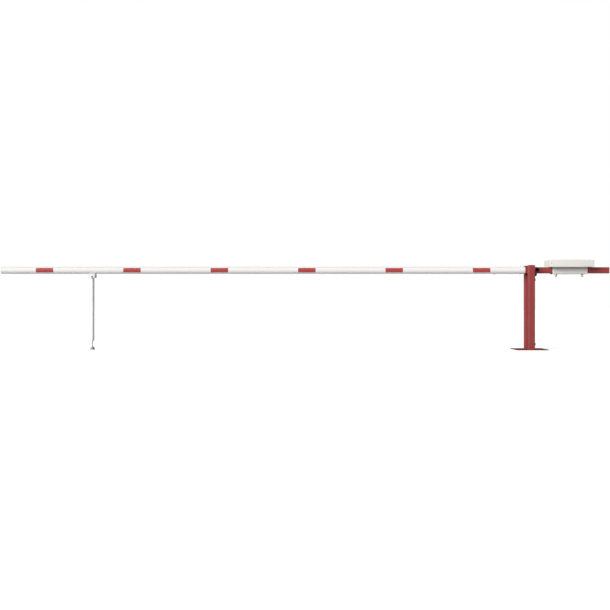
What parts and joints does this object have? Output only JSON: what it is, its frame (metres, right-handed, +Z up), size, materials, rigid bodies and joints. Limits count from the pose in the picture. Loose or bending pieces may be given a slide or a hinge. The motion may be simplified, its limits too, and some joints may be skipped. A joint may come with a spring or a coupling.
{
  "type": "parking barrier gate",
  "caption": "Manual lifting barrier: fork post, counterweighted pivoting arm, long round boom with reflective strips, and a hanging support leg near the tip.",
  "frame": {"origin": "centre of the base plate's underside, on the ground, midway between the two uprights", "axes": "+X level along the arm towards the counterweight, so the boom points to -X; +Y to the rear along the pivot shaft; +Z up"},
  "size_m": [6.978, 0.41, 1.025],
  "materials": {
    "red_paint": "glossy red powder coat on steel",
    "red_plastic": "glossy red moulded plastic",
    "red_film": "red reflective film",
    "white_aluminium": "white powder coat on aluminium",
    "white_plastic": "glossy white moulded plastic",
    "white_paint": "white powder coat on steel",
    "grey_paint": "warm light grey powder coat on steel",
    "zinc_steel": "zinc-plated steel",
    "raw_steel": "dark mill scale steel",
    "bronze": "sintered bronze",
    "black_plastic": "black moulded plastic",
    "black_rubber": "black rubber",
    "grey_rubber": "grey rubber"
  },
  "bodies": {
    "post": {"base_plate": "red_paint", "front_upright": "red_paint", "rear_upright": "red_paint", "upright_caps": "red_paint", "front_ear_plate": "red_paint", "rear_ear_plate": "red_paint", "lock_lugs": "red_paint", "pivot_shaft": "red_paint", "shaft_caps": "black_plastic", "shaft_pins": "zinc_steel", "rest_plate": "red_paint", "rest_pad": "black_rubber", "stop_plate": "red_paint", "stop_pad": "black_rubber"},
    "boom": {"arm_tube": "red_paint", "arm_joint_plate": "red_paint", "arm_spigot": "red_paint", "arm_end_cap": "red_plastic", "cap_screw": "zinc_steel", "pivot_hub": "red_paint", "pivot_bushes": "bronze", "weight_stop_screw": "red_paint", "boom_tube": "white_aluminium", "boom_end_cap": "white_plastic", "front_strips": "red_film", "rear_strips": "red_film", "joint_bolts": "zinc_steel", "joint_nuts": "zinc_steel", "leg_bracket": "white_paint", "bracket_screws": "zinc_steel", "leg_pivot_bolt": "zinc_steel", "leg_pivot_nut": "zinc_steel"},
    "counterweight": {"weight_tray": "zinc_steel", "weight_slabs": "raw_steel", "weight_cover": "grey_paint", "cover_screws": "zinc_steel", "weight_saddle": "grey_paint", "packing_strip": "black_rubber", "weight_bolts": "zinc_steel", "weight_washers": "zinc_steel", "weight_nuts": "zinc_steel"},
    "leg": {"leg_tube": "white_paint", "leg_barrel": "zinc_steel", "leg_insert": "zinc_steel", "lock_nut": "zinc_steel"},
    "foot": {"foot_rod": "zinc_steel", "foot_pad": "grey_rubber"}
  },
  "joints": [
    {"name": "boom_lift", "type": "hinge", "parent": "post", "child": "boom", "pos_m": [0.037, 0, 0.91], "axis": [0, 1, 0], "range_deg": [0, 90]},
    {"name": "weight_slide", "type": "slide", "parent": "boom", "child": "counterweight", "axis": [1, 0, 0], "range_m": [0, 0.08]},
    {"name": "leg_swing", "type": "hinge", "parent": "boom", "child": "leg", "pos_m": [-5.015, 0, 0.84], "axis": [0, -1, 0], "range_deg": [-90, 90]},
    {"name": "foot_screw", "type": "slide", "parent": "leg", "child": "foot", "axis": [0, 0, -1], "range_m": [-0.04, 0.03]}
  ]
}
